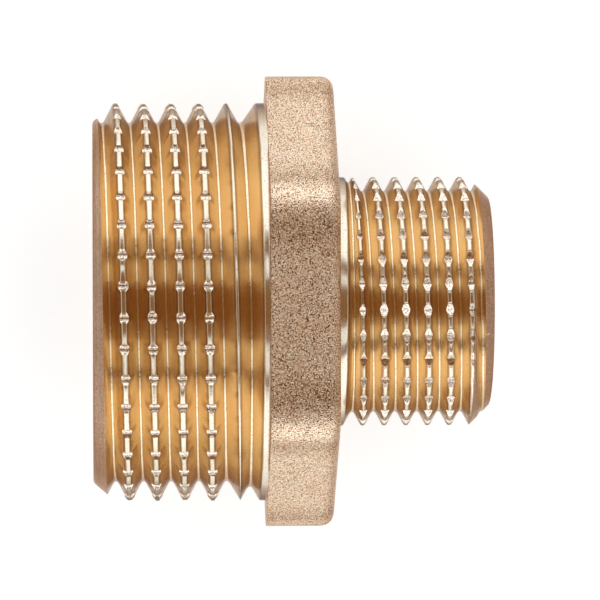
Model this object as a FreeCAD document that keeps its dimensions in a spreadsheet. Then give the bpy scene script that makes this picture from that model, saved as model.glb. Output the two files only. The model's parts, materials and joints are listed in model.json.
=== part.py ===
"""Reducing nipple, 1 inch to 1/2 inch: one piece of brass with a forged hexagon between two pipe threads.

Frame: millimetres. X runs along the axis towards the small end. The origin is on the axis, in the plane of
the hexagon's machined shoulder on the large end's side. One flat of the hexagon faces up (+Z) and one down.
Both threads are parallel and right-handed, and run out short of the hexagon, where the cutter was drawn out.
"""

import FreeCAD, Part

import math
import os

import Sketcher

NODE = "nipple_body"

# Driving dimensions: lengths in millimetres, angles in degrees, and numbers of turns
DRIVING = {
    # Large end with its G 1 thread
    "large_thread_diameter": 33.249,
    "large_thread_pitch": 2.309,
    "large_thread_depth": 1.62,
    "large_end_length": 14.45,
    "large_chamfer_length": 1.8,
    "large_chamfer_depth": 1.55,
    "large_runout_offset": 1.55,
    "large_runout_advance": 0.65,
    "large_runout_turns": 0.85,
    # Small end with its G 1/2 thread
    "small_thread_diameter": 20.82,
    "small_thread_pitch": 1.814,
    "small_thread_depth": 1.23,
    "small_end_length": 13,
    "small_chamfer_length": 1.75,
    "small_chamfer_depth": 1.75,
    "small_runout_offset": 1.5,
    "small_runout_advance": 0.4,
    "small_runout_turns": 0.85,
    # Thread form: half the angle between the flanks, and how far the cutter stands clear of the metal
    "flank_angle": 27.5,
    "cutter_clearance": 0.1,
    # Forged hexagon
    "hex_across_flats": 33.4,
    "hex_length": 5.7,
    "hex_corner_radius": 2.8,
    "hex_rim_bevel": 0.8,
    # Stepped waterway
    "large_bore_diameter": 26,
    "large_bore_depth": 16,
    "small_bore_diameter": 15.5,
}

# Places and radii that follow from the driving dimensions
DERIVED = {
    "large_radius": "Sizes.large_thread_diameter / 2",
    "large_tip_radius": "Sizes.large_thread_diameter / 2 - Sizes.large_chamfer_depth",
    "large_end": "-Sizes.large_end_length",
    "large_chamfer_start": "Sizes.large_chamfer_length - Sizes.large_end_length",
    "large_groove_root": "Sizes.large_thread_diameter / 2 - Sizes.large_thread_depth",
    "large_groove_mouth": "Sizes.large_thread_diameter / 2 + Sizes.cutter_clearance",
    "large_groove_place": "-Sizes.large_runout_offset",
    "large_cutter_height": "Sizes.large_thread_depth + Sizes.cutter_clearance",
    "large_cutter_half_width": "large_cutter_height * tan(Sizes.flank_angle)",
    "large_groove_far_side": "large_groove_place - large_cutter_half_width",
    "large_groove_near_side": "large_groove_place + large_cutter_half_width",
    "large_groove_length": "Sizes.large_end_length - Sizes.large_runout_offset",
    "large_groove_turns": "large_groove_length / Sizes.large_thread_pitch + 1",
    "large_runout_growth": "large_cutter_height / Sizes.large_runout_turns",
    "small_radius": "Sizes.small_thread_diameter / 2",
    "small_tip_radius": "Sizes.small_thread_diameter / 2 - Sizes.small_chamfer_depth",
    "small_end": "Sizes.hex_length + Sizes.small_end_length",
    "small_chamfer_start": "Sizes.hex_length + Sizes.small_end_length - Sizes.small_chamfer_length",
    "small_groove_root": "Sizes.small_thread_depth - Sizes.small_thread_diameter / 2",
    "small_groove_mouth": "-Sizes.small_thread_diameter / 2 - Sizes.cutter_clearance",
    "small_groove_place": "Sizes.hex_length + Sizes.small_runout_offset",
    "small_cutter_height": "Sizes.small_thread_depth + Sizes.cutter_clearance",
    "small_cutter_half_width": "small_cutter_height * tan(Sizes.flank_angle)",
    "small_groove_far_side": "small_groove_place + small_cutter_half_width",
    "small_groove_near_side": "small_groove_place - small_cutter_half_width",
    "small_groove_length": "Sizes.small_end_length - Sizes.small_runout_offset",
    "small_groove_turns": "small_groove_length / Sizes.small_thread_pitch + 1",
    "small_runout_growth": "small_cutter_height / Sizes.small_runout_turns",
    "half_flats": "Sizes.hex_across_flats / 2",
    "large_bore_radius": "Sizes.large_bore_diameter / 2",
    "large_bore_end": "Sizes.large_bore_depth - Sizes.large_end_length",
    "small_bore_radius": "Sizes.small_bore_diameter / 2",
}

ORIGIN = (-1, 1)
HORIZONTAL_AXIS, VERTICAL_AXIS = -1, -2
START, END, CENTRE = 1, 2, 3
FUZZ = 1e-6


def add_sheet(doc, name, cells):
    """A spreadsheet with one named cell on each row."""
    sheet = doc.addObject("Spreadsheet::Sheet", name)
    for row, (alias, content) in enumerate(cells.items(), start=1):
        sheet.set(f"A{row}", alias)
        sheet.set(f"B{row}", str(content))
        sheet.setAlias(f"B{row}", alias)
    doc.recompute()
    return sheet


def origin_feature(body, role):
    """The body's own origin plane or axis of that role."""
    return next(feature for feature in body.Origin.OriginFeatures if feature.Role == role)


def add_sketch(body, name, plane):
    sketch = body.newObject("Sketcher::SketchObject", name)
    sketch.AttachmentSupport = origin_feature(body, plane)
    sketch.MapMode = "FlatFace"
    return sketch


def close_outline(sketch, count):
    """Joins each line's end to the next line's start."""
    for line in range(count):
        sketch.addConstraint(Sketcher.Constraint("Coincident", line, END, (line + 1) % count, START))


def bind_corner(sketch, line, kind, alias, axis):
    """Holds a line's start at the distance that a cell of Stations gives, or on the axis without a cell."""
    if alias is None:
        sketch.addConstraint(Sketcher.Constraint("PointOnObject", line, START, axis))
        return
    value = getattr(sketch.Document.Stations, alias)
    index = sketch.addConstraint(Sketcher.Constraint(kind, *ORIGIN, line, START, value))
    sketch.setExpression(f"Constraints[{index}]", f"Stations.{alias}")


def add_outline(body, name, plane, corners):
    """A closed polygon whose corners are pairs of cells of Stations, or None where a coordinate is zero."""
    sketch = add_sketch(body, name, plane)
    stations = body.Document.Stations
    places = [[getattr(stations, alias) if alias else 0 for alias in pair] for pair in corners]
    points = [FreeCAD.Vector(*place) for place in places]
    sketch.addGeometry([Part.LineSegment(a, b) for a, b in zip(points, points[1:] + points[:1])])
    close_outline(sketch, len(points))
    for line, (along, out) in enumerate(corners):
        bind_corner(sketch, line, "DistanceX", along, VERTICAL_AXIS)
        bind_corner(sketch, line, "DistanceY", out, HORIZONTAL_AXIS)
    return sketch


def add_hexagon(body):
    """The prism from the shoulder to the small end, with rounded corners and a bevelled, forged rim."""
    doc = body.Document
    sketch = add_sketch(body, "hexagon_outline", "YZ_Plane")
    radius = doc.Stations.half_flats / math.cos(math.pi / 6)
    turn = math.pi / 3
    points = [FreeCAD.Vector(radius * math.cos(k * turn), radius * math.sin(k * turn)) for k in range(6)]
    sketch.addGeometry([Part.LineSegment(a, b) for a, b in zip(points, points[1:] + points[:1])])
    close_outline(sketch, 6)
    circle = sketch.addGeometry(Part.Circle(FreeCAD.Vector(), FreeCAD.Vector(0, 0, 1), radius), True)
    sketch.addConstraint(Sketcher.Constraint("Coincident", circle, CENTRE, *ORIGIN))
    for line in range(6):
        sketch.addConstraint(Sketcher.Constraint("PointOnObject", line, START, circle))
    for line in range(1, 6):
        sketch.addConstraint(Sketcher.Constraint("Equal", 0, line))
    upper_flat = 1
    sketch.addConstraint(Sketcher.Constraint("Horizontal", upper_flat))
    bind_corner(sketch, upper_flat, "DistanceY", "half_flats", HORIZONTAL_AXIS)

    prism = body.newObject("PartDesign::Pad", "hexagon")
    prism.Profile = sketch
    prism.setExpression("Length", "Sizes.hex_length")
    doc.recompute()

    corners = body.newObject("PartDesign::Fillet", "hexagon_corners")
    corners.Base = (prism, edges_where(prism, is_along_axis))
    corners.setExpression("Radius", "Sizes.hex_corner_radius")
    doc.recompute()

    rim = body.newObject("PartDesign::Chamfer", "forged_rim")
    rim.Base = (corners, edges_where(corners, is_on_small_side))
    rim.setExpression("Size", "Sizes.hex_rim_bevel")
    doc.recompute()


def edges_where(feature, wanted):
    """The names of the feature's edges that pass the test."""
    edges = enumerate(feature.Shape.Edges, start=1)
    return [f"Edge{number}" for number, edge in edges if wanted(edge, feature.Shape.BoundBox)]


def is_along_axis(edge, box):
    return abs(edge.BoundBox.XLength - box.XLength) < FUZZ


def is_on_small_side(edge, box):
    return edge.BoundBox.XMin > box.XMax - FUZZ


def add_turned_ends(body):
    """Both ends as turned before threading: cylinders with a chamfered tip that meet at the shoulder."""
    blank = body.newObject("PartDesign::Revolution", "turned_ends")
    blank.Profile = add_outline(body, "turned_outline", "XZ_Plane", [
        ("large_end", None),
        ("large_end", "large_tip_radius"),
        ("large_chamfer_start", "large_radius"),
        (None, "large_radius"),
        (None, "small_radius"),
        ("small_chamfer_start", "small_radius"),
        ("small_end", "small_tip_radius"),
        ("small_end", None),
    ])
    blank.ReferenceAxis = (origin_feature(body, "X_Axis"), [""])
    body.Document.recompute()


def add_waterway(body):
    """The wide bore from the large end, which steps down inside the hexagon to the small end's bore."""
    waterway = body.newObject("PartDesign::Groove", "waterway")
    waterway.Profile = add_outline(body, "waterway_outline", "XZ_Plane", [
        ("large_end", None),
        ("large_end", "large_bore_radius"),
        ("large_bore_end", "large_bore_radius"),
        ("large_bore_end", "small_bore_radius"),
        ("small_end", "small_bore_radius"),
        ("small_end", None),
    ])
    waterway.ReferenceAxis = (origin_feature(body, "X_Axis"), [""])
    body.Document.recompute()


def add_thread(body, end, plane, runs_back):
    """Cuts one end's thread with a V cutter, from where the run-out starts and past the end's tip.

    The run-out goes the other way from the same place. It is less steep than the thread, and its radius
    grows until the cutter is clear of the metal.
    """
    cutter = add_outline(body, f"{end}_cutter", plane, [
        (f"{end}_groove_place", f"{end}_groove_root"),
        (f"{end}_groove_far_side", f"{end}_groove_mouth"),
        (f"{end}_groove_near_side", f"{end}_groove_mouth"),
    ])
    axis = (origin_feature(body, "X_Axis"), [""])

    thread = body.newObject("PartDesign::SubtractiveHelix", f"{end}_thread")
    thread.Profile = cutter
    thread.ReferenceAxis = axis
    thread.Mode = "pitch-turns-angle"
    thread.HasBeenEdited = True
    thread.Reversed = runs_back
    thread.setExpression("Pitch", f"Sizes.{end}_thread_pitch")
    thread.setExpression("Turns", f"Stations.{end}_groove_turns")
    body.Document.recompute()

    runout = body.newObject("PartDesign::SubtractiveHelix", f"{end}_runout")
    runout.Profile = cutter
    runout.ReferenceAxis = axis
    runout.Mode = "height-turns-growth"
    runout.HasBeenEdited = True
    runout.Reversed = not runs_back
    runout.setExpression("Height", f"Sizes.{end}_runout_advance")
    runout.setExpression("Turns", f"Sizes.{end}_runout_turns")
    runout.setExpression("Growth", f"Stations.{end}_runout_growth")
    body.Document.recompute()


def check(doc):
    """Stops if a feature failed or the body isn't one sound solid."""
    failed = [obj.Name for obj in doc.Objects if "Invalid" in obj.State or "Error" in obj.State]
    if failed:
        raise RuntimeError(f"features that failed: {failed}")
    for body in doc.findObjects("PartDesign::Body"):
        if body.Shape.isNull() or not body.Shape.isValid() or len(body.Shape.Solids) != 1:
            raise RuntimeError(f"{body.Label} isn't one valid solid")


def main():
    doc = FreeCAD.newDocument("reducing_nipple")
    add_sheet(doc, "Sizes", DRIVING)
    add_sheet(doc, "Stations", {alias: "=" + formula for alias, formula in DERIVED.items()})

    body = doc.addObject("PartDesign::Body", NODE)
    body.Label = NODE
    add_hexagon(body)
    add_turned_ends(body)
    add_waterway(body)
    add_thread(body, "large", "XZ_Plane", runs_back=True)
    add_thread(body, "small", "XY_Plane", runs_back=False)

    check(doc)
    os.makedirs("parts", exist_ok=True)
    for body in doc.findObjects("PartDesign::Body"):
        body.Shape.exportStep(f"parts/{body.Label}.step")
        print(body.Label, round(body.Shape.Volume, 3))


main()
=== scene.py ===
"""The reducing nipple's looks: one mesh of the piece with its threads, crest notches and forged hexagon.

Lengths are millimetres until a mesh is made, where MM turns them into the frame's metres. X runs along the
axis towards the small end, Y is up in the picture and Z is towards the camera.
"""

import json
import math
from dataclasses import dataclass

import bpy
import numpy as np
from mathutils import Matrix, Vector


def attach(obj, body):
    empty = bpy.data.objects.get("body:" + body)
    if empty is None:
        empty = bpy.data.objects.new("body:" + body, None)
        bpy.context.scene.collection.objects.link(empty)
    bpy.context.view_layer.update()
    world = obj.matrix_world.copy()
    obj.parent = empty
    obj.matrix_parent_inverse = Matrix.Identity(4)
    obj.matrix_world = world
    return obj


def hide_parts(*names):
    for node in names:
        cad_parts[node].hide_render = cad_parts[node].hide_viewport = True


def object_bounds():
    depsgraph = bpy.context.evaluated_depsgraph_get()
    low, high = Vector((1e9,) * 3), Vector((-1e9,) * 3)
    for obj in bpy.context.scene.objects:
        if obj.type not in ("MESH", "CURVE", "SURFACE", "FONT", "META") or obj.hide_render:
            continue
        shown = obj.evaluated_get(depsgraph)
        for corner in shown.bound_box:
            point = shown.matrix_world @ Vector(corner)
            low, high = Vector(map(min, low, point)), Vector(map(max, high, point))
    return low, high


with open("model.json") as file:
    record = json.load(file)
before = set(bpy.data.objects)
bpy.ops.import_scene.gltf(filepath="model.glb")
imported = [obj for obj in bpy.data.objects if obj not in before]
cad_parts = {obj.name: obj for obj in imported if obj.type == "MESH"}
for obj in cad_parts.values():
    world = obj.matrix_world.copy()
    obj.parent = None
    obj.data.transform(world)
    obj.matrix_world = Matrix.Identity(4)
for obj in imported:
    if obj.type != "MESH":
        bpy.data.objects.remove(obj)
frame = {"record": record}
cad_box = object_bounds()

MM = 0.001
NODE = "nipple_body"
TURN = 2 * math.pi
RNG = np.random.default_rng(7)


def mount(name):
    """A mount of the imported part, by its name."""
    return next(m for m in frame["record"]["mounts"] if m["name"] == name)


# Sizes of the two threaded ends and of the hexagon

# How far the camera stands above the middle of the flat that faces it
VIEW_TURN = math.radians(3.4)

LOW_X, HIGH_X = cad_box[0].x / MM, cad_box[1].x / MM
HEX_LENGTH = mount("small_shoulder")["pos_m"][0] / MM
STEP_PLACE = LOW_X + mount("large_bore")["dims"]["length_mm"]
HEX_FLATS, HEX_CORNER = (cad_box[1].z - cad_box[0].z) / MM, 2.8
HEX_FORGED_RADIUS, HEX_SHARP_RADIUS = 1.1, 0.05


@dataclass
class ThreadedEnd:
    """One end of the nipple. Its own axial coordinate grows from the hexagon's face towards the end's tip."""
    direction: int
    face: float
    length: float
    radius: float

    # The groove's pitch and section, and shares of the crest's flat where it has a point
    pitch: float
    depth: float
    flank_angle: float
    root_radius: float
    crest_radius: float
    crest_steps: tuple

    # Where the groove first has its full depth, and how far the run-out before it goes
    first_place: float
    first_angle: float
    runout_advance: float
    runout_turns: float

    # How much wider the groove is beside its run-out, and beside the crest before the notches start
    lead_out: float
    thin_crest: float

    chamfer_length: float
    chamfer_depth: float
    bore_radius: float

    # The notches across the crests: a curve of 1 gives them a V, and a higher one a flatter bottom
    notch_count: int
    notch_angle: float
    notch_depth: float
    notch_half: float
    notch_curve: float
    notch_start: float
    bulge: float

    tip_radius: float = 0.5
    fillet: float = 0.14
    cutter_clearance: float = 0.1
    bore_chamfer: float = 0.3


LARGE = ThreadedEnd(
    direction=-1, face=0, length=-LOW_X, radius=33.249 / 2,
    pitch=2.309, depth=1.62, flank_angle=math.radians(27.5),
    root_radius=0.24, crest_radius=0.07, crest_steps=(0.33, 0.67),
    first_place=1.55, first_angle=-math.pi / 2, runout_advance=0.65, runout_turns=0.85,
    lead_out=0.25, thin_crest=0.09,
    chamfer_length=1.8, chamfer_depth=1.55, bore_radius=mount("large_bore")["dims"]["r_mm"],
    notch_count=40, notch_angle=math.radians(-94.5) + VIEW_TURN,
    notch_depth=0.34, notch_half=0.45, notch_curve=2.6, notch_start=3.3, bulge=0.06,
)
SMALL = ThreadedEnd(
    direction=1, face=HEX_LENGTH, length=HIGH_X - HEX_LENGTH, radius=20.82 / 2,
    pitch=1.814, depth=1.17, flank_angle=math.radians(28.5),
    root_radius=0.22, crest_radius=0.12, crest_steps=(0.5,),
    first_place=1.5, first_angle=math.pi, runout_advance=0.4, runout_turns=0.85,
    lead_out=0, thin_crest=0.04,
    chamfer_length=1.75, chamfer_depth=1.75, bore_radius=mount("small_bore")["dims"]["r_mm"],
    notch_count=30, notch_angle=math.radians(82) - VIEW_TURN,
    notch_depth=0.36, notch_half=0.6, notch_curve=1, notch_start=1.6, bulge=0.02,
)


# The mesh of the nipple

# Finishes of vertices and faces. BORDER is for vertices only, where two finishes meet
FLANK, TURNED, ROLLED, FACED, FORGED, ROOT = range(6)
BORDER = 6

# Keys of the lines that go from column to column. Each groove has a hundred, and the rings come after
KEYS_PER_GROOVE = 100
GROOVE_KEY, CROSSING_KEY = 10, 90
FIRST_RING = 10 ** 6
FACE_RING, BORE_RING = FIRST_RING + 10, FIRST_RING + 30

# How the notches differ from each other, and the length over which they fade in and out
ROWS = 12
DEPTH_RANGE, ASIDE, BULGE_RANGE = (0.9, 1.08), 0.08, (0.5, 1.5)
FADE = 0.4

# Columns from a notch's middle to its edge, as shares of that width, and one beside it, of the spacing
NOTCH_COLUMNS = (0, 0.25, 0.5, 0.75, 1)
BESIDE_NOTCH = 0.09

# Depths from which a groove is made, a groove has its full roundings, and a notch shows
GROOVE_FROM, ROUNDED_FROM, NOTCHED_FROM = 0.03, 0.5, 0.02

# A groove's side: the gap above its edge, the bulge's height below it, and steps on the bulge and the root
EDGE_GAP = 0.06
BULGE_HEIGHT = 0.2
FLANK_PER_BULGE = 1.5
BULGE_STEPS = (0.35, 1)
ROOT_STEP = 0.33

# Turns over which a groove becomes as wide as it is beside its run-out
LEAD_OUT_TURNS = 0.25

# Rings beside the hexagon, on the chamfer, at the tip, on its flat face and in the bore
COLLAR_RING = 0.14
CHAMFER_RINGS = (1, 0.72, 0.44)
TIP_RINGS = (0.174, 0.08, 0.02, 0)
FLAT_RINGS = (0.66, 0.33, 0)
BORE_RINGS = (0.3, 0.6, 1)

# The least fillet, and the distances within which a point is left out beside a ring, counts as on the
# crest, or counts as on the chamfer
LEAST_FILLET = 0.01
RING_GAP = 0.004
CREST_GAP = 0.001
TOUCHING = 1e-6

# Points on the hexagon's corners and flats and on its two rims
CORNER_POINTS, FLAT_POINTS = 9, 12
SHARP_POINTS, FORGED_POINTS = 3, 6
SHARP_ANGLE = math.radians(38)


class Solid:
    """Vertices and faces of the mesh, in millimetres, with a finish for each vertex and each face."""

    def __init__(self):
        self.points = []
        self.finishes = []
        self.faces = []
        self.face_finishes = []

    def add_point(self, x, angle, radius, finish):
        """Adds a vertex at that angle from +Y towards +Z round the axis, and returns its number."""
        self.points.append((x, radius * math.cos(angle), radius * math.sin(angle)))
        self.finishes.append(finish)
        return len(self.points) - 1

    def add_face(self, corners, finish=None):
        """Adds a face. Without a finish it takes the one that most corners have, BORDER not counted."""
        if finish is None:
            around = sorted(self.finishes[corner] for corner in corners)
            inside = [finish for finish in around if finish != BORDER] or [FLANK]
            finish = max(inside, key=inside.count)
        self.faces.append(corners)
        self.face_finishes.append(finish)


class Notches:
    """The notches rolled across one end's crests, in lines along the axis, each one a little different."""

    def __init__(self, end):
        self.end = end
        self.spacing = TURN / end.notch_count
        self.half = end.notch_half / end.radius
        self.last_place = end.length - end.chamfer_length
        shape = (end.notch_count, ROWS)
        self.deeper = RNG.uniform(*DEPTH_RANGE, shape)
        self.aside = RNG.uniform(-ASIDE, ASIDE, shape) * self.half
        self.bulges = end.bulge * RNG.uniform(*BULGE_RANGE, shape + (2,))

    def columns(self):
        """Angles of the mesh's columns, with some on the edges and bottom of every notch."""
        steps = [self.half * share for share in NOTCH_COLUMNS]
        steps.append(self.half + BESIDE_NOTCH * self.spacing)
        steps += [self.spacing - step for step in steps[:0:-1]]
        starts = [self.end.notch_angle + self.spacing * k for k in range(self.end.notch_count)]
        return sorted((start + step) % TURN for start in starts for step in steps)

    def at(self, angle, row, place):
        """Depth of the notch at that angle and place on a row of the crest, and its bulge on either side."""
        number = round((angle - self.end.notch_angle) / self.spacing)
        kind = (number % self.end.notch_count, row % ROWS)
        across = abs(angle - self.end.notch_angle - number * self.spacing - self.aside[kind]) / self.half
        begun, left = (place - self.end.notch_start) / FADE, (self.last_place - place) / FADE
        share = max(0, 1 - across ** self.end.notch_curve) * min(1, max(0, begun), max(0, left))
        return share * self.end.notch_depth * self.deeper[kind], self.bulges[kind] * share


def groove_at(end, turned):
    """Axial place and depth of the groove, that many radians past the place where its full depth starts."""
    if turned >= 0:
        return end.first_place + end.pitch * turned / TURN, end.depth
    faded = -turned / (TURN * end.runout_turns)
    place = end.first_place - end.runout_advance * faded
    return place, end.depth - (end.depth + end.cutter_clearance) * faded


def groove_side(end, depth, notch, bulge):
    """Offsets, depths and finishes from the crest down to the groove's bottom, which is the last point."""
    size = min(1, depth / ROUNDED_FROM)
    notch, bulge = min(notch, depth / 2), bulge * size ** 2
    root, crest = end.root_radius * size, end.crest_radius * size
    slope, normal = math.tan(end.flank_angle), math.pi / 2 - end.flank_angle
    mouth = (depth + root / math.sin(end.flank_angle) - root) * slope
    top = mouth + crest * math.tan(normal / 2)
    arc = [(top - crest * math.sin(a), crest - crest * math.cos(a)) for a in (0, normal)]
    finish = ROLLED if notch > NOTCHED_FROM else TURNED
    side = [(o, max(d, notch), finish) for o, d in arc]

    floor = depth - root
    bottom = [(root * math.sin(a), floor + root * math.cos(a)) for a in (normal, ROOT_STEP * normal, 0)]
    highest, lowest = arc[-1][1] + EDGE_GAP * size, bottom[0][1]
    edge = min(max(notch, highest), lowest - BULGE_HEIGHT * size)
    side.append((mouth - edge * slope - bulge, edge, finish))
    for share in BULGE_STEPS:
        below = edge + share * min(BULGE_HEIGHT, (lowest - edge) / FLANK_PER_BULGE)
        side.append((mouth - below * slope - (1 - share) * bulge, below, FLANK))
    return side + [(*bottom[0], FLANK)] + [(o, d, ROOT) for o, d in bottom[1:]]


def lead_out(end, turned):
    """How much wider the groove's side towards the hexagon is, until the groove before it is deep."""
    before = groove_at(end, turned - TURN)[1]
    begun = min(1, max(0, turned / (LEAD_OUT_TURNS * TURN)))
    return 1 + end.lead_out * begun * (1 - min(1, max(0, before / end.depth)))


def beside_crest(end, place):
    """How much wider a groove's side is beside the crest at that place, which is thin before the notches."""
    return 1 + end.thin_crest * (1 - min(1, max(0, (place - end.notch_start) / FADE)))


def uncovered(groove, other):
    """The groove's points that the other groove, which may overlap it, doesn't cut away."""
    places, depths = [point[1] for point in other], [point[2] for point in other]
    return [point for point in groove
            if not places[0] < point[1] < places[-1] or np.interp(point[1], places, depths) < point[2]]


def groove_line(end, turned, number, before, after):
    """One groove's points as (key, place, depth, finish), between the notches of the crests beside it."""
    place, depth = groove_at(end, turned)
    near = groove_side(end, depth, before[0], before[1][0])
    far = groove_side(end, depth, after[0], after[1][1])
    wider = lead_out(end, turned) * beside_crest(end, place - end.pitch / 2)
    across = [(-o * wider, d, f) for o, d, f in near]
    wider = beside_crest(end, place + end.pitch / 2)
    across += [(o * wider, d, f) for o, d, f in far[-2::-1]]
    first_key = number * KEYS_PER_GROOVE + GROOVE_KEY
    return [(first_key + j, place + o, d, f) for j, (o, d, f) in enumerate(across)]


def crest_line(end, number, low, high, notch):
    """Points on the flat of the crest between two grooves, as (key, place, depth, finish)."""
    first_key = number * KEYS_PER_GROOVE
    finish = ROLLED if notch > NOTCHED_FROM else TURNED
    places = [low + (high - low) * step for step in end.crest_steps]
    return [(first_key + j, place, notch, finish) for j, place in enumerate(places)]


def thread_line(end, notches, angle):
    """The end's outline at that angle as (key, place, depth, finish), from the run-out past the tip."""
    grooves, crests = [], []
    number = math.ceil((end.first_angle - TURN * end.runout_turns - angle) / TURN)
    before = notches.at(angle, number, 0)
    while not grooves or grooves[-1][-1][1] < end.length:
        turned = angle + TURN * number - end.first_angle
        place, depth = groove_at(end, turned)
        if depth > GROOVE_FROM:
            after = notches.at(angle, number + 1, place + end.pitch / 2)
            groove = groove_line(end, turned, number, before, after)
            edge = groove[0][1]
            last_edge = grooves[-1][-1][1] if grooves else edge
            if last_edge < edge:
                crests += crest_line(end, number, last_edge, edge, before[0])
            grooves.append(groove)
            before = after
        number += 1
    for k in range(len(grooves) - 1):
        left, right = grooves[k], grooves[k + 1]
        if left[-1][1] > right[0][1]:
            grooves[k], grooves[k + 1] = uncovered(left, right), uncovered(right, left)
    return sorted(sum(grooves, crests), key=lambda point: point[1])


def chamfer_radius(end, place):
    """Largest radius that the tip's chamfer and its rounded edge leave at that place."""
    slope = end.chamfer_depth / end.chamfer_length
    lean = math.atan(slope)
    tangent = end.tip_radius * math.tan((math.pi / 2 - lean) / 2)
    centre = end.radius - end.chamfer_depth - tangent
    if place > end.length - tangent * math.cos(lean):
        across = place - (end.length - end.tip_radius)
        return centre + math.sqrt(max(0, end.tip_radius ** 2 - across ** 2))
    return min(end.radius, end.radius - slope * (place - (end.length - end.chamfer_length)))


def chamfer_crossings(end, line):
    """Points where the outline goes under the tip's chamfer or comes out of it."""
    crossings = []
    for (key, place, depth, _), (_, next_place, next_depth, _) in zip(line, line[1:]):
        over = end.radius - depth - chamfer_radius(end, place)
        next_over = end.radius - next_depth - chamfer_radius(end, next_place)
        if (over > 0) != (next_over > 0):
            share = over / (over - next_over)
            number = key // KEYS_PER_GROOVE * KEYS_PER_GROOVE
            crossings.append((number + CROSSING_KEY + (over > 0), place + (next_place - place) * share,
                              depth + (next_depth - depth) * share, BORDER))
    return crossings


def hexagon_radius(angle):
    """Distance from the axis to the hexagon's outline at that angle, without its corner rounding."""
    across = (angle + TURN / 6) % (TURN / 6) - TURN / 12
    return HEX_FLATS / 2 / math.cos(across)


def outer_column(end, notches, angle):
    """The outside of one column as (key, place, radius, finish), from the hexagon's face to the tip."""
    tip = end.length
    rings = [end.fillet + COLLAR_RING] + [tip - end.chamfer_length * share for share in CHAMFER_RINGS]
    rings += [tip - back for back in TIP_RINGS]
    line = thread_line(end, notches, angle)
    line = sorted(line + chamfer_crossings(end, line), key=lambda point: point[1])
    places = [place for _, place, _, _ in line]
    radii = [end.radius - depth for _, _, depth, _ in line]
    marks = []
    for k, place in enumerate(rings):
        radius = float(np.interp(place, places, radii))
        marks.append((FACE_RING + k, place, radius, TURNED if radius > end.radius - CREST_GAP else FLANK))
    kept = [(key, place, end.radius - depth, finish) for key, place, depth, finish in line
            if place < tip and min(abs(place - ring) for ring in rings) > RING_GAP]
    column = []
    for key, place, radius, finish in sorted(kept + marks, key=lambda point: point[1]):
        limit = chamfer_radius(end, place)
        covered = limit < radius - TOUCHING and finish != BORDER
        column.append((key, place, min(radius, limit), FACED if covered else finish))
    return column


def end_columns(solid, end, notches, angles):
    """Adds one end's vertices, column by column. Each column runs from the hexagon to the bore's step."""
    tip = end.length
    bore_length = (end.face + end.direction * tip - STEP_PLACE) * end.direction
    columns = []
    for angle in angles:
        room = hexagon_radius(angle) - HEX_SHARP_RADIUS - end.radius - LEAST_FILLET
        fillet = min(end.fillet, max(LEAST_FILLET, room / 2))
        arc = [(fillet * (1 - math.cos(a)), end.radius + fillet * (1 - math.sin(a)))
               for a in (0, math.pi / 4, math.pi / 2)]
        column = [(FIRST_RING + k, u, r, FACED) for k, (u, r) in enumerate(arc)]
        column += outer_column(end, notches, angle)
        face_radius = column[-1][2]
        edge = end.bore_radius + end.bore_chamfer
        inside = [(tip, edge + (face_radius - edge) * share) for share in FLAT_RINGS]
        inside.append((tip - end.bore_chamfer, end.bore_radius))
        inside += [(tip - bore_length * share, end.bore_radius) for share in BORE_RINGS]
        column += [(BORE_RING + k, u, r, FACED) for k, (u, r) in enumerate(inside)]
        real = end.direction * angle
        columns.append([(key, solid.add_point(end.face + end.direction * u, real, r, f))
                        for key, u, r, f in column])
    return columns


def join_columns(solid, end, columns):
    """Fills the strips between columns. Lines go on from the last column to the first one turn later."""
    count = len(columns)
    for i, left in enumerate(columns):
        right = columns[(i + 1) % count]
        shift = KEYS_PER_GROOVE if i == count - 1 else 0
        left = [(key + shift if key < FIRST_RING else key, vertex) for key, vertex in left]
        fill_strip(solid, left, right)


def fill_strip(solid, left, right):
    """Faces between two columns, from each pair of vertices on the same line or ring to the next pair."""
    row_right = {key: k for k, (key, _) in enumerate(right)}
    row_left = {key: k for k, (key, _) in enumerate(left)}
    rings = [key for key, _ in left if key >= FIRST_RING]
    pairs = []
    for low, high in zip(rings, rings[1:]):
        pairs.append((row_left[low], row_right[low]))
        for k in range(row_left[low] + 1, row_left[high]):
            key = left[k][0]
            if pairs[-1][1] < row_right.get(key, -1) < row_right[high]:
                pairs.append((k, row_right[key]))
    pairs.append((row_left[rings[-1]], row_right[rings[-1]]))
    for (a0, b0), (a1, b1) in zip(pairs, pairs[1:]):
        there = [right[k][1] for k in range(b0, b1 + 1)]
        back = [left[k][1] for k in range(a1, a0 - 1, -1)]
        solid.add_face(there + back)


def hexagon_ring(solid, x, inset):
    """One outline of the hexagon, that far inside its largest one, as (angle, vertex) pairs."""
    radius = HEX_CORNER - inset
    reach = (HEX_FLATS / 2 - HEX_CORNER) / math.cos(math.pi / 6)
    ring = []
    for corner in range(6):
        middle = corner * TURN / 6
        following = middle + TURN / 6
        cy, cz = reach * math.cos(middle), reach * math.sin(middle)
        arc = [(cy + radius * math.cos(middle + a), cz + radius * math.sin(middle + a))
               for a in np.linspace(-math.pi / 6, math.pi / 6, CORNER_POINTS)]
        ny = reach * math.cos(following) + radius * math.cos(following - math.pi / 6)
        nz = reach * math.sin(following) + radius * math.sin(following - math.pi / 6)
        flat = [(arc[-1][0] + (ny - arc[-1][0]) * f, arc[-1][1] + (nz - arc[-1][1]) * f)
                for f in np.linspace(0, 1, FLAT_POINTS)[1:-1]]
        for y, z in arc + flat:
            angle = math.atan2(z, y)
            ring.append((angle % TURN, solid.add_point(x, angle, math.hypot(y, z), FORGED)))
    return sorted(ring)


def end_ring(end, angles, columns, row):
    """One row of an end's columns as (angle, vertex) pairs."""
    return sorted((end.direction * angle % TURN, column[row][1]) for angle, column in zip(angles, columns))


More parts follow.
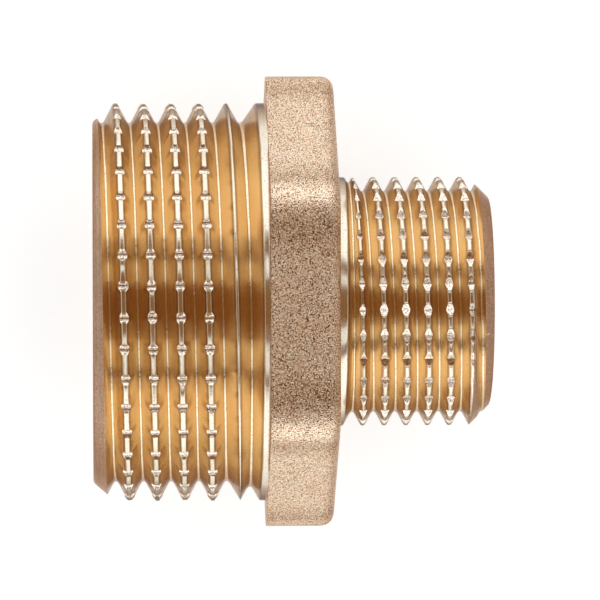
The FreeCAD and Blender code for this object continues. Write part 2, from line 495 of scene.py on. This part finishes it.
def zip_rings(solid, first, second, finish):
    """Triangles between two closed rings of (angle, vertex) pairs, sorted by angle."""
    n, m = len(first), len(second)
    i = j = 0
    while i < n or j < m:
        a, b = first[i % n], second[j % m]
        next_a = first[(i + 1) % n][0] + (TURN if i + 1 >= n else 0)
        next_b = second[(j + 1) % m][0] + (TURN if j + 1 >= m else 0)
        if j >= m or (i < n and next_a <= next_b):
            solid.add_face([a[1], first[(i + 1) % n][1], b[1]], finish)
            i += 1
        else:
            solid.add_face([a[1], second[(j + 1) % m][1], b[1]], finish)
            j += 1


def build_nipple():
    """The whole nipple: both threaded ends, the bore's step between them, and the hexagon."""
    solid = Solid()
    columns, angles = {}, {}
    for end in (LARGE, SMALL):
        notches = Notches(end)
        angles[end.direction] = notches.columns()
        columns[end.direction] = end_columns(solid, end, notches, angles[end.direction])
        join_columns(solid, end, columns[end.direction])

    def row(end, number):
        return end_ring(end, angles[end.direction], columns[end.direction], number)

    zip_rings(solid, row(SMALL, -1), row(LARGE, -1), FACED)
    outline = [(HEX_SHARP_RADIUS * (1 - math.sin(a)), HEX_SHARP_RADIUS * (1 - math.cos(a)))
               for a in np.linspace(math.pi / 2, 0, SHARP_POINTS)]
    outline += [(HEX_LENGTH - HEX_FORGED_RADIUS * (1 - math.sin(a)), HEX_FORGED_RADIUS * (1 - math.cos(a)))
                for a in np.linspace(0, math.pi / 2, FORGED_POINTS)]
    rings = [hexagon_ring(solid, x, inset) for x, inset in outline]
    zip_rings(solid, row(LARGE, 0), rings[0], FACED)
    for low, high in zip(rings, rings[1:]):
        for k in range(len(low)):
            n = (k + 1) % len(low)
            solid.add_face([low[k][1], low[n][1], high[n][1], high[k][1]], FORGED)
    zip_rings(solid, rings[-1], row(SMALL, 0), FORGED)
    return solid


def to_object(solid, name, materials):
    """Makes the scene's object from the solid, with one material for each finish."""
    mesh = bpy.data.meshes.new(name)
    mesh.from_pydata([Vector(p) * MM for p in solid.points], [], solid.faces)
    for material in materials:
        mesh.materials.append(material)
    mesh.polygons.foreach_set("material_index", solid.face_finishes)
    mesh.shade_smooth()
    mesh.set_sharp_from_angle(angle=SHARP_ANGLE)
    mesh.update()
    obj = bpy.data.objects.new(name, mesh)
    bpy.context.scene.collection.objects.link(obj)
    return obj


# Materials

class Shader:
    """A material's node tree. Most calls add one node and return its output. Places are in millimetres."""

    def __init__(self, name):
        self.material = bpy.data.materials.new(name)
        self.material.use_nodes = True
        self.nodes = self.material.node_tree.nodes
        self.links = self.material.node_tree.links
        self.surface = self.nodes["Principled BSDF"]
        metres = self.node("ShaderNodeTexCoord", output="Object")
        self.place = self.node("ShaderNodeVectorMath", {0: metres, 3: 1 / MM}, operation="SCALE")
        split = self.nodes.new("ShaderNodeSeparateXYZ")
        self.links.new(self.place, split.inputs[0])
        self.x, self.y, self.z = split.outputs
        flat = self.vector(0.0, self.y, self.z)
        self.radius = self.node("ShaderNodeVectorMath", {0: flat}, output=1, operation="LENGTH")

    def node(self, kind, inputs=None, output=0, **settings):
        """Adds a node of that kind. Its inputs are values or other nodes' outputs."""
        node = self.nodes.new(kind)
        for name, value in settings.items():
            setattr(node, name, value)
        for name, value in (inputs or {}).items():
            self.put(node.inputs[name], value)
        return node.outputs[output]

    def put(self, socket, value):
        """Links an output to that socket, or sets the socket's value."""
        if isinstance(value, bpy.types.NodeSocket):
            self.links.new(value, socket)
        else:
            socket.default_value = value

    def set(self, **values):
        """Sets or links sockets of the surface, with spaces in their names written as underscores."""
        for name, value in values.items():
            self.put(self.surface.inputs[name.replace("_", " ")], value)

    def math(self, operation, a, b=0.0):
        return self.node("ShaderNodeMath", {0: a, 1: b}, operation=operation)

    def vector(self, x, y, z):
        return self.node("ShaderNodeCombineXYZ", {0: x, 1: y, 2: z})

    def noise(self, vector, scale, detail=2.0, roughness=0.5):
        values = {"Vector": vector, "Scale": scale, "Detail": detail, "Roughness": roughness}
        return self.node("ShaderNodeTexNoise", values)

    def fit(self, value, low, high, to_low=0.0, to_high=1.0):
        """Maps a value from one range to another, and holds it there."""
        return self.node("ShaderNodeMapRange", {0: value, 1: low, 2: high, 3: to_low, 4: to_high})

    def mix(self, factor, a, b):
        a, b = [c if isinstance(c, bpy.types.NodeSocket) else (*c, 1) for c in (a, b)]
        return self.node("ShaderNodeMix", {0: factor, 6: a, 7: b}, output=2, data_type="RGBA")

    def bump(self, height, depth, strength=1.0, below=None):
        """A bump whose full height is that many millimetres."""
        values = {"Height": height, "Distance": depth * MM, "Strength": strength}
        if below is not None:
            values["Normal"] = below
        return self.node("ShaderNodeBump", values)


def streaks(shader, across, fineness, along=0.12):
    """Tool marks round the axis: noise that is fine across them and long along them."""
    fine = shader.math("MULTIPLY", across, fineness)
    y = shader.math("MULTIPLY", shader.y, along)
    z = shader.math("MULTIPLY", shader.z, along)
    return shader.noise(shader.vector(fine, y, z), 1.0, 3.0, 0.6)


def below_crests(shader):
    """How far a place on either thread is below the crests."""
    offsets = [shader.math("SUBTRACT", end.radius, shader.radius) for end in (LARGE, SMALL)]
    depths = [shader.math("ABSOLUTE", offset) for offset in offsets]
    return shader.math("MINIMUM", *depths)


def flank_brass():
    shader = Shader("flank_brass")
    marks = streaks(shader, shader.radius, 9.0)
    patches = shader.noise(shader.place, 0.35, 2.0)
    gold = shader.mix(shader.fit(patches, 0.35, 0.65), (0.88, 0.67, 0.40), (0.91, 0.72, 0.45))
    gold = shader.mix(shader.fit(marks, 0.3, 0.75, 0.0, 0.4), gold, (0.83, 0.58, 0.31))
    specks = shader.noise(shader.place, 5.0, 2.0)
    gold = shader.mix(shader.fit(specks, 0.24, 0.29, 0.8, 0.0), gold, (0.36, 0.20, 0.10))
    # Painted shade: deep in the groove the flanks turn a darker, more saturated gold, and within about 0.4 mm
    # below the crests they turn dark brown.
    below = below_crests(shader)
    gold = shader.mix(shader.fit(below, 0.5, 1.4, 0.0, 0.5), gold, (0.79, 0.54, 0.27))
    shader.set(Base_Color=shader.mix(shader.fit(below, 0.16, 0.42, 0.7, 0.0), gold, (0.35, 0.21, 0.12)))
    shader.set(Metallic=1.0, Roughness=shader.fit(marks, 0.3, 0.7, 0.17, 0.27))
    shader.set(Specular_Tint=(0.52, 0.47, 0.46, 1))
    shader.set(Normal=shader.bump(marks, 0.004))
    return shader.material


def turned_brass():
    shader = Shader("turned_brass")
    marks = streaks(shader, shader.x, 6.0, 0.06)
    grain = shader.noise(shader.place, 6.0, 3.0)
    pale = shader.mix(shader.fit(marks, 0.35, 0.65), (0.90, 0.84, 0.71), (0.84, 0.75, 0.58))
    pits = shader.fit(grain, 0.32, 0.42, 1.0, 0.0)
    shader.set(Base_Color=shader.mix(shader.math("MULTIPLY", pits, 0.6), pale, (0.55, 0.40, 0.28)))
    shader.set(Metallic=1.0, Roughness=shader.fit(marks, 0.3, 0.7, 0.12, 0.24))
    shader.set(Specular_Tint=(0.25, 0.22, 0.22, 1))
    lines = shader.bump(marks, 0.006)
    shader.set(Normal=shader.bump(grain, 0.003, below=lines))
    return shader.material


def root_brass():
    shader = Shader("root_brass")
    grain = shader.noise(shader.place, 8.0, 3.0, 0.6)
    shader.set(Base_Color=shader.mix(shader.fit(grain, 0.34, 0.5), (0.72, 0.50, 0.28), (1.0, 0.88, 0.63)))
    shader.set(Metallic=1.0, Roughness=shader.fit(grain, 0.3, 0.7, 0.14, 0.26))
    shader.set(Specular_Tint=(0.6, 0.52, 0.45, 1))
    shader.set(Normal=shader.bump(grain, 0.006))
    return shader.material


def rolled_brass():
    shader = Shader("rolled_brass")
    grain = shader.noise(shader.place, 7.5, 4.0, 0.6)
    shader.set(Base_Color=shader.mix(shader.fit(grain, 0.38, 0.54), (0.52, 0.38, 0.26), (0.97, 0.89, 0.77)))
    shader.set(Metallic=1.0, Roughness=shader.fit(grain, 0.3, 0.7, 0.1, 0.24))
    shader.set(Normal=shader.bump(grain, 0.018))
    return shader.material


def faced_brass():
    shader = Shader("faced_brass")
    along_radius = shader.math("MULTIPLY", shader.radius, 1.1)
    marks = streaks(shader, shader.math("ADD", along_radius, shader.x), 7.0, 0.03)
    stains = shader.noise(shader.place, 0.9, 4.0, 0.6)
    grain = shader.noise(shader.place, 7.0, 2.0, 0.6)
    brown = shader.mix(shader.fit(stains, 0.35, 0.65), (0.69, 0.50, 0.36), (0.76, 0.58, 0.45))
    brown = shader.mix(shader.fit(marks, 0.35, 0.6, 0.0, 0.6), brown, (0.52, 0.35, 0.24))
    brown = shader.mix(shader.fit(grain, 0.56, 0.68, 0.0, 0.6), brown, (0.95, 0.80, 0.64))
    shader.set(Base_Color=shader.mix(shader.fit(grain, 0.3, 0.46, 0.75, 0.0), brown, (0.32, 0.19, 0.12)))
    shader.set(Metallic=1.0, Roughness=shader.fit(marks, 0.3, 0.7, 0.22, 0.36))
    shader.set(Specular_Tint=(0.7, 0.62, 0.55, 1))
    lines = shader.bump(marks, 0.012)
    shader.set(Normal=shader.bump(grain, 0.05, below=lines))
    return shader.material


def across_flats(shader):
    """How far across its flat of the hexagon a place lies: 0 in the middle, 1 where the rounding starts."""
    angle = shader.math("ARCTAN2", shader.z, shader.y)
    turned = shader.math("MODULO", shader.math("ADD", angle, TURN), TURN / 6)
    aside = shader.math("SINE", shader.math("SUBTRACT", turned, TURN / 12))
    flat = HEX_FLATS / 2 * math.tan(TURN / 12) - HEX_CORNER * math.tan(TURN / 12)
    return shader.math("DIVIDE", shader.math("ABSOLUTE", shader.math("MULTIPLY", shader.radius, aside)), flat)


def forged_brass():
    shader = Shader("forged_brass")
    dents = shader.noise(shader.place, 3.6, 2.0, 0.6)
    grit = shader.noise(shader.place, 11.0, 0.0, 0.5)
    clouds = shader.noise(shader.place, 0.5, 3.0, 0.55)
    base = shader.mix(shader.fit(clouds, 0.35, 0.65), (0.98, 0.71, 0.49), (1.0, 0.78, 0.57))
    # Painted shade: the outer part of each hexagon flat is darkened towards brown, fading out just past where
    # its corner rounding starts.
    beside = across_flats(shader)
    inside = shader.fit(beside, 0.56, 0.82)
    painted_shade_band = shader.math("MULTIPLY", inside, shader.fit(beside, 0.9, 1.02, 1.0, 0.0))
    base = shader.mix(shader.math("MULTIPLY", painted_shade_band, 0.8), base, (0.62, 0.40, 0.24))
    # Painted glints: the highest grit specks are made pale cream, as glints on the tips of the blasted grain.
    base = shader.mix(shader.fit(grit, 0.59, 0.67), base, (1.0, 0.93, 0.76))
    dark = shader.fit(grit, 0.34, 0.44, 1.0, 0.0)
    shader.set(Base_Color=shader.mix(dark, base, (0.10, 0.04, 0.015)))
    shader.set(Metallic=1.0, Roughness=shader.fit(grit, 0.3, 0.7, 0.17, 0.28))
    shader.set(Specular_Tint=(0.7, 0.65, 0.6, 1))
    large = shader.bump(dents, 0.05)
    shader.set(Normal=shader.bump(grit, 0.05, below=large))
    return shader.material


materials = [flank_brass(), turned_brass(), rolled_brass(), faced_brass(), forged_brass(), root_brass()]
nipple = to_object(build_nipple(), "nipple", materials)
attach(nipple, "root")
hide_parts(NODE)


# Floor, cards and world

# Sizes of the floor and of the cards round the object, in metres
FLOOR_Z = cad_box[0].z
FLOOR_HALF = 1.5
CARD_DISTANCE, CARD_HALF_LENGTH = 0.4, 0.5
FLOOR_CARD_HEIGHT = 0.0005
END_CARD_HALF, END_CARD_TOP = 0.3, 0.2


def plane(name, corners, material):
    """A stage plane with those corners, in metres."""
    mesh = bpy.data.meshes.new(name)
    mesh.from_pydata(corners, [], [range(len(corners))])
    mesh.materials.append(material)
    obj = bpy.data.objects.new(name, mesh)
    bpy.context.scene.collection.objects.link(obj)
    return obj


def floor_white():
    shader = Shader("floor_white")
    rays = shader.nodes.new("ShaderNodeLightPath").outputs
    seen = shader.math("MAXIMUM", rays["Is Camera Ray"], rays["Is Glossy Ray"])
    seen = shader.math("MAXIMUM", seen, rays["Is Transmission Ray"])
    shader.set(Base_Color=(0.6, 0.6, 0.6, 1), Roughness=0.9, Specular_IOR_Level=0.0)
    shader.set(Emission_Color=(1, 1, 1, 1), Emission_Strength=shader.math("MULTIPLY", seen, 0.55))
    return shader.material


def card(name, corners, colour):
    """A card or softbox that only reflections show. Its colour is what they show."""
    shader = Shader(name)
    shader.set(Base_Color=(0, 0, 0, 1), Specular_IOR_Level=0.0, Roughness=1.0)
    shader.set(Emission_Color=(*colour, 1), Emission_Strength=1.0)
    obj = plane(name, corners, shader.material)
    obj.visible_camera = False
    obj.visible_diffuse = False
    obj.visible_shadow = False


def strip_card(name, low, high, colour):
    """A card along X between two angles from the camera's direction towards +Y, in degrees."""
    corners = []
    for angle, side in ((low, -1), (high, -1), (high, 1), (low, 1)):
        turned = math.radians(angle) + VIEW_TURN
        y, z = CARD_DISTANCE * math.sin(turned), CARD_DISTANCE * math.cos(turned)
        corners.append((side * CARD_HALF_LENGTH, y, z))
    card(name, corners, colour)


def floor_shade_card(name, x, y, colour):
    """A card that lies beside the object, between those two places along X and along Y, as painted shade of
    the floor in reflections.
    """
    z = FLOOR_Z + FLOOR_CARD_HEIGHT
    card(name, [(x[0], y[0], z), (x[1], y[0], z), (x[1], y[1], z), (x[0], y[1], z)], colour)


def end_card(name, x, colour):
    """An upright card across the axis."""
    half, top = END_CARD_HALF, END_CARD_TOP
    card(name, [(x, -half, FLOOR_Z), (x, half, FLOOR_Z), (x, half, top), (x, -half, top)], colour)


floor_corners = [(x * FLOOR_HALF, y * FLOOR_HALF, FLOOR_Z) for x, y in ((-1, -1), (1, -1), (1, 1), (-1, 1))]
plane("floor", floor_corners, floor_white())
strip_card("card_middle", -23.5, 15, (0.24, 0.115, 0.04))
strip_card("card_upper", 25.5, 38, (0.22, 0.11, 0.05))
strip_card("card_lower", -52.5, -41.5, (0.15, 0.06, 0.02))
strip_card("softbox_upper", 40.5, 88, (1.3, 1.3, 1.33))
strip_card("softbox_lower", -94, -54, (1.36, 1.36, 1.38))
# Painted shade: dimmer cards on the floor round the object, which reflections see instead of the floor there.
floor_shade_card("card_above", (-0.022, 0.025), (0.021, 0.042), (0.95, 0.82, 0.77))
floor_shade_card("card_below", (-0.022, 0.025), (-0.042, -0.021), (0.95, 0.82, 0.77))
floor_shade_card("card_large_end", (-0.2, -0.022), (-0.1, 0.1), (0.6, 0.46, 0.37))
floor_shade_card("card_small_end", (0.025, 0.2), (-0.1, 0.1), (0.6, 0.46, 0.37))
end_card("card_left", -0.35, (0.42, 0.34, 0.28))
end_card("card_right", 0.35, (0.36, 0.26, 0.2))

world = bpy.data.worlds.new("world")
bpy.context.scene.world = world
world.use_nodes = True
world.node_tree.nodes["Background"].inputs[0].default_value = (1, 1, 1, 1)


# Camera

camera_data = bpy.data.cameras.new("camera")
camera = bpy.data.objects.new("camera", camera_data)
bpy.context.scene.collection.objects.link(camera)
bpy.context.scene.camera = camera
camera_data.lens = 372.7
camera_data.sensor_width = 36
CAMERA_X, CAMERA_DISTANCE = -0.0147, 0.52
AIM_X, AIM_UP = 0.0029, 0.000133
CAMERA_ROLL = math.radians(-0.2)
up = Vector((0, math.cos(VIEW_TURN), -math.sin(VIEW_TURN)))
back = Vector((0, math.sin(VIEW_TURN), math.cos(VIEW_TURN)))
aim = Vector((AIM_X, 0, 0)) + AIM_UP * up
camera.location = Vector((CAMERA_X, 0, 0)) + AIM_UP * up + CAMERA_DISTANCE * back
forward = (aim - camera.location).normalized()
right = forward.cross(up).normalized()
upright = Matrix((right, right.cross(forward), -forward)).transposed()
camera.rotation_euler = (upright @ Matrix.Rotation(CAMERA_ROLL, 3, "Z")).to_euler()

bpy.context.scene.view_settings.view_transform = "Standard"
